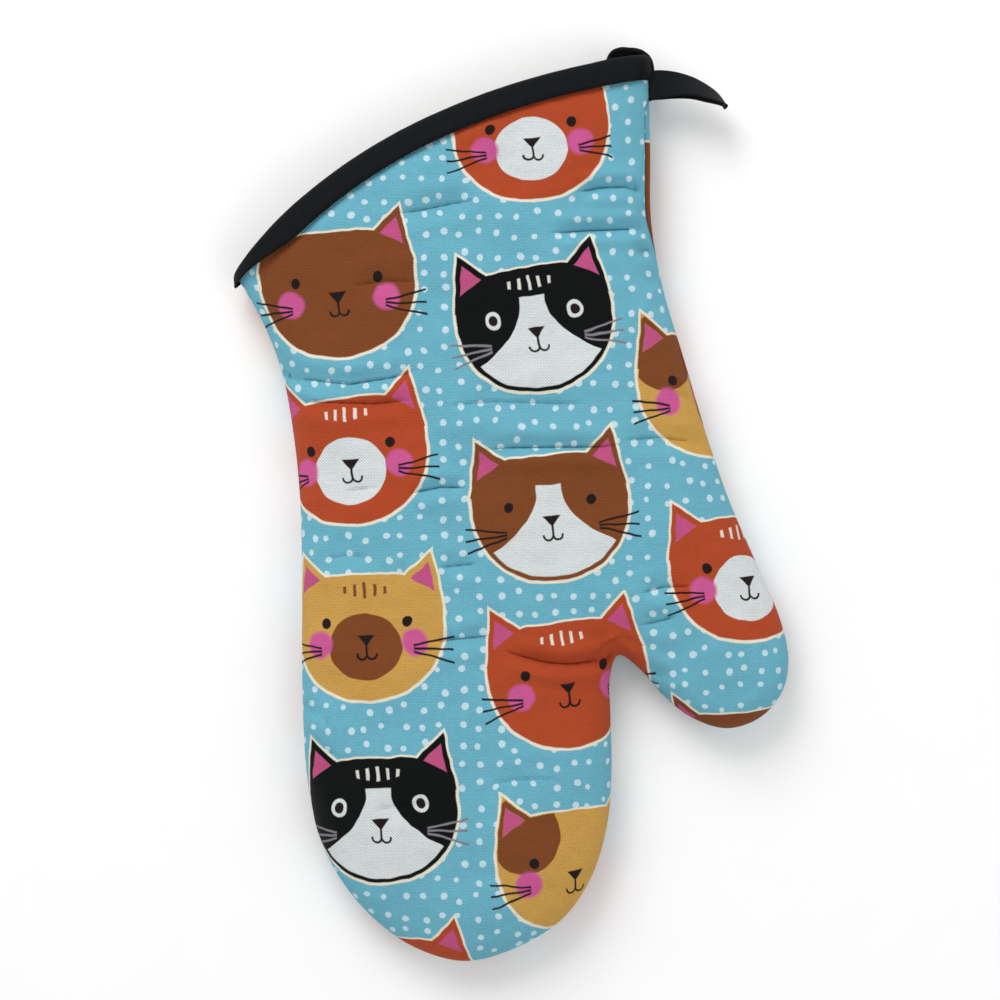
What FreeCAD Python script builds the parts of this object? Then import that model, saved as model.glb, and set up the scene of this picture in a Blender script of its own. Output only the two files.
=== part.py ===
import FreeCAD, Part
import math
import os

from FreeCAD import Vector

# Quilted cotton oven mitt lying on its back, in millimetres.
# +Y runs from the finger tip to the cuff, +X towards the thumb, +Z up from the resting face.
# The origin is under the middle of the mitt's box, on the surface that it lies on.
os.makedirs("parts", exist_ok=True)

# Driving dimensions
THICKNESS = 26.0  # of the whole mitt, both padded panels and the hand space
COVER = 0.9  # printed cotton
WADDING = 3.9
LINING = 0.9
TAPE = 0.7  # bias binding, one layer
WALL = COVER + WADDING + LINING
MIDDLE = THICKNESS / 2  # height of the side seam and of the fold lines

EDGE_ROUNDING = [(0.0, 0.0), (0.5, 1.2), (0.82, 4.2), (1.0, 9.0)]  # share of the height, way in
OUTLINE_SAMPLES = 64

CUFF_RADIUS = 203.0  # of the arc that the cuff is cut to
CUFF_CENTRE = (58.8, -41.9)

BINDING_WIDTH = 10.0
BINDING_SHIFT = (2.2, 1.1)  # of the lower edge's centre: 11 wide on the left, 9 on the right
STITCH = (2.2, 0.6, 0.4)  # length, width and depth of one topstitch
STITCH_PITCH = 3.2
STITCH_FROM_EDGE = 1.8  # from the binding's lower edge
STITCH_SPAN = (7.0, 44.0)  # degrees round the cuff's arc, where the cuff is flat

THREAD = 0.6
THREAD_DEPTH = 3.6  # seam line, in from the side of the mitt
THREAD_START = 0.4  # below the binding

FOLD_ANGLE = 60.0  # travel of the finger and thumb folds
FOLD_MARGIN = 1.5  # extra opening on each side of the groove, in degrees
FOLD_GAP = 0.25  # half the gap between two sections at their fold line
FINGER_FOLD_Y = -95.0
THUMB_FOLD_FROM = (38.3, -54.4)  # in the crotch between fingers and thumb
THUMB_FOLD_TO = (76.0, 14.0)  # on the thumb's side seam
CROTCH_RELIEF = 2.2  # radius of the clearance at the crotch, where the fold line ends

LOOP_TAPE = 1.1
LOOP_ROOT_X = 52.4
LOOP_TIP_X = 77.3
LOOP_ROOT = 1.2  # half the height of the loop where its legs meet
SEWN_END_X = (44.9, 50.3)
LOOP_BELLY = 4.7  # half the height of the loop across its two legs

FAR = 400.0

# The mitt's edge, anticlockwise from the cuff's outer corner.
# The last points carry the sides on past the cuff, where the cuff's curve cuts them off.
OUTLINE = [
    (-99.4, 81.6), (-90.9, 66.8), (-83.8, 48.5), (-79.4, 25.0), (-77.0, 0.0), (-76.4, -32.0),
    (-76.3, -66.0), (-74.6, -98.0), (-70.2, -120.0), (-62.4, -135.6), (-50.4, -149.8),
    (-35.0, -160.6), (-17.2, -165.3), (0.5, -160.8), (18.1, -150.0), (28.4, -135.2),
    (34.2, -116.5), (35.9, -96.0), (35.5, -76.0), (35.4, -62.0), (38.3, -54.4), (46.7, -60.2),
    (55.3, -69.8), (65.0, -77.2), (77.5, -81.0), (89.5, -77.2), (97.6, -68.0), (100.0, -56.0),
    (97.2, -42.0), (87.8, -19.9), (79.0, 0.5), (70.9, 23.5), (62.3, 52.3), (54.4, 79.0),
    (50.3, 102.0), (49.9, 130.0), (49.4, 161.0), (48.8, 215.0), (-40.0, 250.0), (-135.0, 190.0),
    (-128.0, 128.0),
]


# The loop seen from above: the twisted tape narrows to its tip.
LOOP_PLAN = [
    (50.0, 156.0), (60.4, 156.4), (65.5, 154.8), (70.4, 150.8), (78.0, 142.6),
    (66.2, 146.0), (60.6, 146.7), (50.0, 146.2),
]


def flat_point(point):
    return Vector(point[0], point[1], 0)


def closed_curve(points):
    curve = Part.BSplineCurve()
    curve.interpolate(Points=points, PeriodicFlag=True)
    return curve


def prism(points, bottom, top):
    """A straight-sided block over a polygon given in X and Y."""
    corners = [Vector(x, y, bottom) for x, y in points]
    face = Part.Face(Part.makePolygon(corners + corners[:1]))
    return face.extrude(Vector(0, 0, top - bottom))


def sampled_outline():
    """Points round the mitt's edge, each with its direction into the mitt."""
    curve = closed_curve([flat_point(p) for p in OUTLINE])
    points = curve.discretize(Number=OUTLINE_SAMPLES + 1)[:-1]
    samples = []
    for point in points:
        tangent = curve.tangent(curve.parameter(point))[0]
        samples.append((point, Vector(-tangent.y, tangent.x, 0).normalize()))
    return samples


def offset_wire(samples, inset, z):
    points = [p + inward * inset + Vector(0, 0, z) for p, inward in samples]
    return Part.Wire([closed_curve(points).toShape()])


def half_pillow(samples, depth, side):
    """Half of the solid that lies a depth inside the mitt's surface; side is +1 for the front."""
    wires = []
    for height, inset in EDGE_ROUNDING:
        z = MIDDLE + side * height * (MIDDLE - depth)
        wires.append(offset_wire(samples, inset + depth, z))
    return Part.makeLoft(wires, True, True)


def below_cuff(inset, shift=(0.0, 0.0)):
    """Everything on the finger side of the cuff's edge, moved into the mitt by inset."""
    foot = Vector(CUFF_CENTRE[0] + shift[0], CUFF_CENTRE[1] + shift[1], -THICKNESS)
    return Part.makeCylinder(CUFF_RADIUS - inset, 3 * THICKNESS, foot)


def seam_thread(samples):
    """The line of lock stitches that joins the two panels inside the side seam."""
    outer = Part.Face(offset_wire(samples, THREAD_DEPTH, MIDDLE - THREAD / 2))
    inner = Part.Face(offset_wire(samples, THREAD_DEPTH + THREAD, MIDDLE - THREAD / 2))
    ring = outer.extrude(Vector(0, 0, THREAD)).cut(inner.extrude(Vector(0, 0, THREAD)))
    return ring.common(below_cuff(BINDING_WIDTH + THREAD_START, BINDING_SHIFT))


def fold_side(start, end, sign, gap):
    """Everything on one side of a fold line, with the slope of the groove above the line.

    The groove lets the far side fold up by FOLD_ANGLE. sign is +1 for the far side.
    """
    along = (flat_point(end) - flat_point(start)).normalize()
    across = Vector(along.y, -along.x, 0) * sign
    lean = math.tan(math.radians(FOLD_ANGLE / 2 + FOLD_MARGIN))
    origin = flat_point(start) - along * FAR
    profile = [
        origin + across * gap + Vector(0, 0, -FAR),
        origin + across * gap + Vector(0, 0, MIDDLE),
        origin + across * (gap + lean * THICKNESS) + Vector(0, 0, MIDDLE + THICKNESS),
        origin + across * FAR + Vector(0, 0, MIDDLE + THICKNESS),
        origin + across * FAR + Vector(0, 0, -FAR),
    ]
    return Part.Face(Part.makePolygon(profile + profile[:1])).extrude(along * 2 * FAR)


def section_regions():
    """The three parts of the mitt that move against each other."""
    finger_line = ((-FAR / 2, FINGER_FOLD_Y), (FAR / 2, FINGER_FOLD_Y))
    x, y = THUMB_FOLD_FROM
    below_crotch = (x + 2.4, y - 3.0)
    thumb_plan = [
        (x - 12.0, y - 0.8), (x + 0.3, y - 0.8), below_crotch, (below_crotch[0] + 1.0, -FAR / 2),
        (FAR / 2, -FAR / 2), (FAR / 2, FAR / 2), (x - 12.0, FAR / 2),
    ]
    thumb_area = prism(thumb_plan, -FAR / 2, FAR / 2)
    right = below_crotch[0]
    fingers_area = prism([(-FAR, -FAR), (right, -FAR), (right, FAR), (-FAR, FAR)], -FAR, FAR)
    fingers = fold_side(*finger_line, 1, FOLD_GAP).common(fingers_area)
    relief = Part.makeCylinder(CROTCH_RELIEF, FAR, Vector(x, y - 1.0, -FAR / 2))
    thumb = fold_side(THUMB_FOLD_FROM, THUMB_FOLD_TO, 1, FOLD_GAP).common(thumb_area).cut(relief)
    hand = fold_side(*finger_line, -1, FOLD_GAP)
    kept_clear = Part.makeBox(FAR, FAR, FAR, Vector(-FAR / 2, -FAR / 2, -FAR / 2)).cut(
        fold_side(THUMB_FOLD_FROM, THUMB_FOLD_TO, -1, FOLD_GAP)
    )
    hand = hand.cut(kept_clear.common(thumb_area))
    return {"hand": hand, "fingers": fingers, "thumb": thumb}


def topstitching():
    """Stitches along the binding's lower edge, let into its outer face, front and back."""
    length, width, depth = STITCH
    radius = CUFF_RADIUS - BINDING_WIDTH + STITCH_FROM_EDGE
    centre = Vector(CUFF_CENTRE[0] + BINDING_SHIFT[0], CUFF_CENTRE[1] + BINDING_SHIFT[1], 0)
    first, last = STITCH_SPAN
    count = int(math.radians(last - first) * radius / STITCH_PITCH)
    stitches = []
    for i in range(count):
        turn = first + (last - first) * i / count
        for z in (0.0, THICKNESS - depth):
            stitch = Part.makeBox(length, width, depth, Vector(-length / 2, radius - width / 2, z))
            stitch.rotate(Vector(0, 0, 0), Vector(0, 0, 1), turn)
            stitch.translate(centre)
            stitches.append(stitch)
    return Part.makeCompound(stitches)


def loop_profile(shrink):
    """Half the loop's height at each station, seen from the side; shrink gives the inner face."""
    root = LOOP_ROOT_X + 2.3 * shrink
    tip = LOOP_TIP_X - shrink
    belly = LOOP_BELLY - shrink
    root_half = LOOP_ROOT if shrink == 0 else 0.3
    stations = [
        (root, root_half), (root + 0.2 * (tip - root), 0.86 * belly), (root + 0.5 * (tip - root), belly),
        (root + 0.8 * (tip - root), 0.8 * belly), (tip, 0.0),
    ]
    lower = [(x, -z) for x, z in stations]
    upper = [(x, z) for x, z in reversed(stations[:-1])]
    return closed_curve([Vector(x, 0, MIDDLE + z) for x, z in lower + upper])


def hanging_loop():
    """The tape's free bight: two legs and the turn at the tip."""
    y_low = min(y for x, y in LOOP_PLAN) - 5.0
    y_high = max(y for x, y in LOOP_PLAN) + 5.0
    blocks = []
    for shrink in (0.0, LOOP_TAPE):
        face = Part.Face(Part.Wire([loop_profile(shrink).toShape()]))
        face.translate(Vector(0, y_low, 0))
        blocks.append(face.extrude(Vector(0, y_high - y_low, 0)))
    return blocks[0].cut(blocks[1]).common(prism(LOOP_PLAN, 0, THICKNESS))


def loop_sewn_end():
    """The two tape ends held in the side seam, one on the other."""
    low, high = SEWN_END_X
    return Part.makeBox(high - low, 9.4, 2 * LOOP_TAPE, Vector(low, 146.5, MIDDLE - LOOP_TAPE))


def loop_over_cuff():
    """The tape's second end, which comes over the cuff's edge in a small arch."""
    outer = [(34.6, 157.6), (36.2, 162.6), (40.5, 165.3), (46.0, 164.6), (49.2, 160.2)]
    inner = [(47.6, 160.9), (45.2, 163.1), (41.0, 163.8), (37.8, 161.6), (36.2, 157.6)]
    edges = []
    for points in (outer, inner):
        curve = Part.BSplineCurve()
        curve.interpolate(Points=[flat_point(p) for p in points])
        edges.append(curve.toShape())
    edges.append(Part.makeLine(flat_point(outer[-1]), flat_point(inner[0])))
    edges.append(Part.makeLine(flat_point(inner[-1]), flat_point(outer[0])))
    face = Part.Face(Part.Wire(Part.__sortEdges__(edges)))
    face.translate(Vector(0, 0, MIDDLE - 9.0))
    return face.extrude(Vector(0, 0, 9.0))


def bar_tack():
    """The dense stitches that hold the loop's ends, on the front of the binding."""
    stitches = []
    for i in range(6):
        stitch = Part.makeBox(4.0, 0.5, STITCH[2], Vector(34.0, 154.6 + 0.8 * i, THICKNESS - STITCH[2]))
        stitches.append(stitch)
    return Part.makeCompound(stitches)


def build():
    samples = sampled_outline()
    depths = (0.0, TAPE, COVER, TAPE + COVER, COVER + WADDING, WALL, WALL + TAPE)
    sides = {"back": -1, "front": 1}
    pillow = {}
    for half, side in sides.items():
        for depth in depths:
            pillow[half, depth] = half_pillow(samples, depth, side)

    body = below_cuff(TAPE)
    below_binding = below_cuff(BINDING_WIDTH, BINDING_SHIFT)
    bound_part = body.cut(below_binding)
    band = below_cuff(0.0).cut(below_binding)
    inner = COVER + WADDING
    layers = {
        "cover": [(0.0, COVER, below_binding), (TAPE, TAPE + COVER, bound_part)],
        "wadding": [(COVER, inner, below_binding), (TAPE + COVER, inner, bound_part)],
        "lining": [(inner, WALL, body)],
    }
    sections = section_regions()
    sewn_end = loop_sewn_end()
    thread = seam_thread(samples).cut(sewn_end)
    stitches = topstitching()
    tack = bar_tack()

    parts = {}
    rings = []
    for half in sides:
        for layer, pieces in layers.items():
            shells = []
            for outside, inside, area in pieces:
                shells.append(pillow[half, outside].cut(pillow[half, inside]).common(area))
            panel = shells[0]
            if len(shells) > 1:
                panel = panel.fuse(shells[1])
            if layer == "wadding":
                panel = panel.cut(thread)
            panel = panel.cut(sewn_end)
            for section, region in sections.items():
                parts[half + "_" + layer + "_" + section] = panel.common(region)
        ring = pillow[half, 0.0].cut(pillow[half, WALL + TAPE]).common(band)
        walls = pillow[half, TAPE].cut(pillow[half, WALL]).common(body)
        rings.append(ring.cut(walls))
    for section, region in sections.items():
        parts["seam_thread_" + section] = thread.common(region)

    binding = rings[0].fuse(rings[1]).removeSplitter()
    parts["cuff_binding"] = binding.cut(sewn_end).cut(stitches).cut(tack)
    parts["binding_stitching"] = stitches
    parts["loop_bar_tack"] = tack
    parts["loop_sewn_end"] = sewn_end
    parts["loop_over_cuff"] = loop_over_cuff().cut(below_cuff(0.0))
    parts["hanging_loop"] = hanging_loop()
    return parts


for name, shape in sorted(build().items()):
    print(f"{name:24s} solids {len(shape.Solids):3d} volume {shape.Volume:10.1f}", shape.isValid())
    shape.exportStep("parts/" + name + ".step")
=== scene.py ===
import math
from functools import partialmethod

import bpy
import numpy as np
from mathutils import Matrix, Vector, geometry


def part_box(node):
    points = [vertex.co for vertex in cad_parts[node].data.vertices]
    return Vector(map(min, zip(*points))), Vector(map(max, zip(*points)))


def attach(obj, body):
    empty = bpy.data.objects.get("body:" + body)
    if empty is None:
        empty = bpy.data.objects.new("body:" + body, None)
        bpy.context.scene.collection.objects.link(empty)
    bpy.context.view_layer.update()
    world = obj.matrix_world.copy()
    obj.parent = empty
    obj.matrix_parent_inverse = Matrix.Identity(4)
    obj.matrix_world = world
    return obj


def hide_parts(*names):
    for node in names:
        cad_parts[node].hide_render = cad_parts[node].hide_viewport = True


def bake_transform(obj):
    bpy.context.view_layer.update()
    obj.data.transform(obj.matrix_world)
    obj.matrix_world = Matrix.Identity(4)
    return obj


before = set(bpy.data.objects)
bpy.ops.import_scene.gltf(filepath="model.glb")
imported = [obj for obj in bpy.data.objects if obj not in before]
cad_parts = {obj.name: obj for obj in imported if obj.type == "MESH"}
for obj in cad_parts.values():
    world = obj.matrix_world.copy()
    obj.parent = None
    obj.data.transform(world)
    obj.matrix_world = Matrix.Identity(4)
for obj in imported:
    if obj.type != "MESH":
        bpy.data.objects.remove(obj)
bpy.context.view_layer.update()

# Lengths are in millimetres until a mesh is made; MM turns them into metres.
MM = 0.001
LOW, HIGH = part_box("back_cover_hand")[0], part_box("front_cover_hand")[1]
THICKNESS = (HIGH[2] - LOW[2]) / MM
MIDDLE = THICKNESS / 2  # height of the side seam

# The mitt's edge, anticlockwise from the cuff's outer corner, as in the CAD model.
OUTLINE = [
    (-99.4, 81.6), (-90.9, 66.8), (-83.8, 48.5), (-79.4, 25), (-77, 0), (-76.4, -32),
    (-76.3, -66), (-74.6, -98), (-70.2, -120), (-62.4, -135.6), (-50.4, -149.8),
    (-35, -160.6), (-17.2, -165.3), (0.5, -160.8), (18.1, -150), (28.4, -135.2),
    (34.2, -116.5), (35.9, -96), (35.5, -76), (35.4, -62), (38.3, -54.4), (46.7, -60.2),
    (55.3, -69.8), (65, -77.2), (77.5, -81), (89.5, -77.2), (97.6, -68), (100, -56),
    (97.2, -42), (87.8, -19.9), (79, 0.5), (70.9, 23.5), (62.3, 52.3), (54.4, 79),
    (50.3, 102), (49.9, 130), (49.4, 161), (48.8, 215), (-40, 250), (-135, 190),
    (-128, 128),
]
CUFF_RADIUS = 203.0
CUFF_CENTRE = np.array([58.8, -41.9])

THUMB_FOLD = np.array([[38.3, -54.4], [76.0, 14.0]])

PILLOW_HEIGHT = 12.3  # of one panel's outer face above the seam
PILLOW_REACH = 34.0  # way in from the side where the panel is full
PILLOW_POWER = 2.2
RIM_ANGLE = math.radians(40.0)  # the part of the rounded side that is meshed in rings
RIM_RINGS = 8
PANEL = 4.7  # cloth and wadding
LINING = 0.5
GAP = 0.3  # between the wadding and the lining
GRID = 1.5  # spacing of the cloth's points
FINE_CELL = 0.42  # least spacing of the points along the folds
SETTLE_ROUNDS = 60  # of smoothing at a point spacing of GRID
BACK_PRINT = np.array([-2.0, -32.0])  # where the back panel was cut from the printed cloth
BACK_FULLNESS = 1.1  # the back panel is pressed flat by the floor
ROLLED_THINNESS = 0.3  # share of its thickness that the strip rolled to the front keeps
THIN_ANGLE = math.radians(6.0)
CUFF_PRESS = 0.4  # share of the layers' thickness that the binding presses out
CUFF_PRESS_REACH = 16.0
CUFF_PRESS_RAMP = 6.0
CUT_EDGE = 0.8  # the panels end this far inside the binding's fold
CORNER_POINTS = 14  # of the side's points at each end, which turn towards the cuff
# Rings of the edge turned in at the seam, front and back: way in from the seam, and height.
TUCKS = {
    1: [(1.5, 0.12), (0.55, 0.35), (0.12, 0.8)],
    -1: [(1.5, 1.2), (0.55, 0.95), (0.12, 0.8)],
}

# The cuff isn't quite an arc: its way out from the arc, at angles round the arc's centre.
CUFF_BEND = [
    (88, 2.2), (92, 1.9), (95, 0.8), (97.5, -0.2), (100, -1), (105, -1.6),
    (113, -1.7), (124, -0.8), (133, -0.2), (142, 0.1), (150, 0),
]
CUFF_BEND_REACH = 45.0  # into the mitt, where the bend has faded out

BINDING_WIDTH = 8.8
BINDING = 0.55  # thickness of the tape
BINDING_NARROWS = 0.62  # share of its width that it loses towards the cuff's outer corner
BINDING_NARROWS_OVER = 30.0


# ---- curves

def closed_spline(points, per_span=24):
    """A smooth closed curve through the points, as a dense list of points."""
    p = np.array(points, float)
    n = len(p)
    curve = []
    for i in range(n):
        a, b, c, d = p[i - 1], p[i], p[(i + 1) % n], p[(i + 2) % n]
        ab, bc, cd = (np.sqrt(np.linalg.norm(v)) for v in (b - a, c - b, d - c))
        m1 = (b - a) * (bc / ab) * (bc / (ab + bc)) + (c - b) * (ab / (ab + bc))
        m2 = (c - b) * (cd / (bc + cd)) + (d - c) * (bc / cd) * (bc / (bc + cd))
        t = np.linspace(0, 1, per_span, endpoint=False)[:, None]
        curve.append(
            (2 * t**3 - 3 * t**2 + 1) * b + (t**3 - 2 * t**2 + t) * m1
            + (-2 * t**3 + 3 * t**2) * c + (t**3 - t**2) * m2
        )
    return np.concatenate(curve)


def open_spline(points, per_span=14):
    """A smooth curve through rows of numbers."""
    p = np.array(points, float)
    p = np.concatenate([2 * p[:1] - p[1:2], p, 2 * p[-1:] - p[-2:-1]])
    rows = []
    for i in range(1, len(p) - 2):
        t = np.linspace(0, 1, per_span, endpoint=i == len(p) - 3)[:, None]
        a, b, c, d = p[i - 1], p[i], p[i + 1], p[i + 2]
        square, cube = 2 * a - 5 * b + 4 * c - d, 3 * b - a - 3 * c + d
        rows.append(0.5 * (2 * b + (c - a) * t + square * t**2 + cube * t**3))
    return np.concatenate(rows)


def run_length(points):
    """The length of an open curve up to each of its points."""
    steps = np.linalg.norm(np.diff(points, axis=0), axis=1)
    return np.concatenate([[0], np.cumsum(steps)])


def evenly(points, spacing):
    """The same open curve with evenly spaced points."""
    at = run_length(points)
    want = np.linspace(0, at[-1], max(2, int(round(at[-1] / spacing)) + 1))
    return np.stack([np.interp(want, at, points[:, k]) for k in range(points.shape[1])], 1)


def unit(v):
    return v / np.maximum(np.linalg.norm(v, axis=-1, keepdims=True), 1e-9)


def smooth_step(x):
    x = np.clip(x, 0, 1)
    return x * x * (3 - 2 * x)


def nearest(points, line):
    """For each point, the index of the nearest point of the line, and the distance."""
    index = np.empty(len(points), int)
    distance = np.empty(len(points))
    for start in range(0, len(points), 2000):
        part = points[start : start + 2000]
        d = np.linalg.norm(part[:, None] - line[None], axis=2)
        index[start : start + 2000] = d.argmin(1)
        distance[start : start + 2000] = d.min(1)
    return index, distance


OUTER = closed_spline(OUTLINE)
CUFF_LINE = open_spline(CUFF_BEND)


def side_curve(inset):
    """The mitt's side, from the cuff's left corner round the fingers to its right corner."""
    reach = np.linalg.norm(OUTER - CUFF_CENTRE, axis=1) - (CUFF_RADIUS - inset)
    inside = reach < 0
    start = np.flatnonzero(inside & ~np.roll(inside, 1))
    first = start[OUTER[start][:, 0].argmin()]
    rolled = np.roll(OUTER, -first + 1, axis=0)
    reach = np.roll(reach, -first + 1)
    last = np.flatnonzero(reach[1:] >= 0)[0] + 1
    curve = rolled[: last + 1].copy()
    for end, next_to in ((0, 1), (last, last - 1)):
        share = reach[end] / (reach[end] - reach[next_to])
        curve[end] = rolled[end] + (rolled[next_to] - rolled[end]) * share
    return curve


SIDE = evenly(side_curve(CUT_EDGE), spacing=GRID * 1.1)


def inward_of(curve):
    """Directions square to a curve, to its left."""
    along = unit(np.gradient(curve, axis=0))
    return np.stack([-along[:, 1], along[:, 0]], 1)


def side_inward():
    """Directions into the mitt; at the cuff's corners they turn to run along the cuff."""
    inward = inward_of(SIDE)
    out = unit(SIDE - CUFF_CENTRE)
    for end, sign in ((0, 1), (-1, -1)):
        along_cuff = sign * np.array([out[end][1], -out[end][0]])
        for k in range(CORNER_POINTS):
            at = k if end == 0 else -1 - k
            weight = 1 - smooth_step(np.array(k / CORNER_POINTS))
            inward[at] = unit(inward[at] * (1 - weight) + along_cuff * weight)
    return inward


INWARD = side_inward()


def bend_cuff(points):
    """The same points, with the cuff's edge moved off its arc."""
    away = points[:, :2] - CUFF_CENTRE
    reach = np.linalg.norm(away, axis=1)
    turn = np.degrees(np.arctan2(away[:, 1], away[:, 0]))
    out = np.interp(turn, CUFF_LINE[:, 0], CUFF_LINE[:, 1])
    out *= smooth_step((reach - CUFF_RADIUS) / CUFF_BEND_REACH + 1)
    moved = points.copy()
    moved[:, :2] += away * (out / reach)[:, None]
    return moved


# ---- shape of a panel

def rim(angle):
    """Way in from the side and height above the seam, at an angle round the rounded side."""
    inset = PILLOW_REACH * (1 - np.cos(angle) ** (2 / PILLOW_POWER))
    return inset, PILLOW_HEIGHT * np.sin(angle)


def dome(inset):
    u = np.clip(inset / PILLOW_REACH, 0, 1)
    return PILLOW_HEIGHT * np.sqrt(1 - (1 - u) ** PILLOW_POWER)


RIM_END = float(rim(np.array(RIM_ANGLE))[0])
SLANT_REACH = 9.0  # over which the steps turn upright, past the rim


def slant(angle, distance, in_rim):
    """How far a step through the padding goes along the panel and up, as shares of the step."""
    fade = np.where(in_rim, 1.0, np.exp((RIM_END - distance) / SLANT_REACH)).clip(0, 1)
    up = np.where(in_rim, np.sin(angle), 1 - (1 - math.sin(RIM_ANGLE)) * fade)
    return np.cos(angle) * fade, up


OPEN_END = 6.0  # a fold that ends this near the side runs on into the seam
DEEPEST = 5.2  # no fold goes below this
CREASE_TAPER = 0.3  # share of a fold's length over which it fades out
# Folds of the front panel: the valley's line, its depth and its half width.
CREASES = [
    ([(-44, 104.6), (-33.5, 106.1), (-22, 108.4), (-11.5, 109.7)], 2.2, 2.6),
    ([(22, 112), (31.5, 114.1), (40.5, 114.6), (48.1, 113.3)], 3.8, 1.7),
    ([(12, 97.4), (26.4, 98.6), (38, 99.2), (50.3, 100)], 4, 1.7),
    ([(46, 91.6), (54, 92.4)], 1.8, 1.6),
    ([(46, 80.6), (56, 81.6)], 1.8, 1.8),
    ([(-86, 52), (-80, 46), (-72, 45), (-58.7, 43.3), (-44, 45.6), (-29.9, 49.5)],
     2.8, 2.2),
    ([(-82, 38), (-70, 37), (-50, 36.4), (-33, 38)], 2, 2.2),
    ([(-30, 35), (-8, 37.2), (31.5, 36.1)], 1.5, 2.8),
    ([(-38, 4), (-26, 6.4), (-15.4, 6.2)], 3, 1.8),
    ([(-14, 19.6), (-2, 20.6), (31.5, 20.9), (42, 22)], 3.2, 2),
    ([(38, 23), (52, 24.4), (68, 22.4)], 1.7, 2.4),
    ([(-27, -22.4), (-12, -21)], 1.8, 2.2),
    ([(-29, -49.2), (-18, -47.8), (-7, -47)], 2.2, 2),
    ([(44, -32), (54, -29.4), (66, -29)], 1.9, 2.2),
    ([(45, -43.4), (52, -41.8), (60, -39.6)], 1.9, 2.6),
    ([(37.6, -54.8), (30, -56.2), (20.7, -57.2), (12, -56.6), (2.3, -54), (-5, -51.4)],
     4, 1.8),
    ([(31, -51.4), (37.4, -54.4)], 2, 1.5),
    ([(44, -57.4), (49, -60), (54, -61.4)], 1.5, 1.8),
    ([(-75, -72), (-69, -76), (-65, -80)], 1.6, 1.6),
    ([(-74.5, -84), (-68, -87.6), (-63, -90)], 1.4, 1.6),
    ([(-60, 5), (-48, 6.6)], 1.2, 2.4),
    ([(-10, -100), (8, -98), (20, -99)], 1, 3.4),
    ([(-52, -110), (-38, -107.4), (-24, -108)], 0.9, 3.4),
    ([(-60, 78), (-46, 80.6), (-30, 80)], 1.4, 3),
    ([(60, 40), (66, 38)], 1.6, 1.8),
    ([(-70, -20), (-60, -18), (-50, -18.6)], 1, 3),
]


def crease_line(line, side):
    """The valley's line on the front panel, or a little further up on the back one."""
    line = np.array(line, float)
    return line if side > 0 else line + np.array([0.0, 9.0])


def notch_width(width):
    """Half the width of the sharp line along a valley."""
    return 0.2 * width + 0.2


def crease_field(points, side):
    """Height to add at each point for the folds: a sharp notch, a soft valley and low ridges."""
    total = np.zeros(len(points))
    for line, depth, width in CREASES:
        line = evenly(crease_line(line, side), spacing=0.5)
        index, distance = nearest(points, line)
        along = index / (len(line) - 1)
        taper = 1.0
        for end, run in ((line[0], along), (line[-1], 1 - along)):
            if side_distance(end) >= OPEN_END:
                taper = taper * smooth_step(run / CREASE_TAPER)
        notch = np.clip(1 - distance / notch_width(width), 0, 1)
        t = distance / width
        valley = 0.9 * notch + 0.35 * np.exp(-t * 1.1) + 0.22 * np.exp(-((t / 2.4) ** 2))
        ridge = 0.42 * np.exp(-(((t - 2.5) / 1.4) ** 2))
        total += depth * taper * (ridge - valley) * (distance < 9 * width)
    return np.where(total < 0, DEEPEST * np.tanh(total / DEEPEST), total)


def side_distance(point):
    return float(np.linalg.norm(SIDE - point, axis=1).min())


def ripple(points, seed, cell_x, cell_y):
    """Smooth noise of about unit height, with cells longer along X."""
    x = points[:, 0] / cell_x + seed * 17.3
    y = points[:, 1] / cell_y + seed * 5.1
    value = np.zeros(len(points))
    rng = np.random.default_rng(seed)
    for _ in range(7):
        angle = rng.uniform(0, 2 * math.pi)
        phase = rng.uniform(0, 2 * math.pi)
        rate = rng.uniform(0.7, 1.5)
        value += np.sin(rate * (x * math.cos(angle) + y * math.sin(angle)) * 2 * math.pi + phase)
    return value / math.sqrt(7 / 2) / 1.6


TURNED_OVER = (0, 3, 2, 1)  # a face's corners the other way round


def strips(rows, size, steps, order=(0, 1, 2, 3)):
    """Faces between rows of points that follow each other, at these steps along the rows."""
    faces = []
    for r in range(rows - 1):
        for k in steps:
            a, b = r * size + k, r * size + (k + 1) % size
            corners = a, a + size, b + size, b
            faces.append(tuple(corners[i] for i in order))
    return faces


def inside_loop(points, loop):
    """Which points lie inside a closed line."""
    x, y = points[:, 0], points[:, 1]
    inside = np.zeros(len(points), bool)
    for (ax, ay), (bx, by) in zip(loop, np.roll(loop, -1, axis=0)):
        crosses = (ay > y) != (by > y)
        if ay != by:
            inside ^= crosses & (x < (bx - ax) * (y - ay) / (by - ay) + ax)
    return inside


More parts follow.
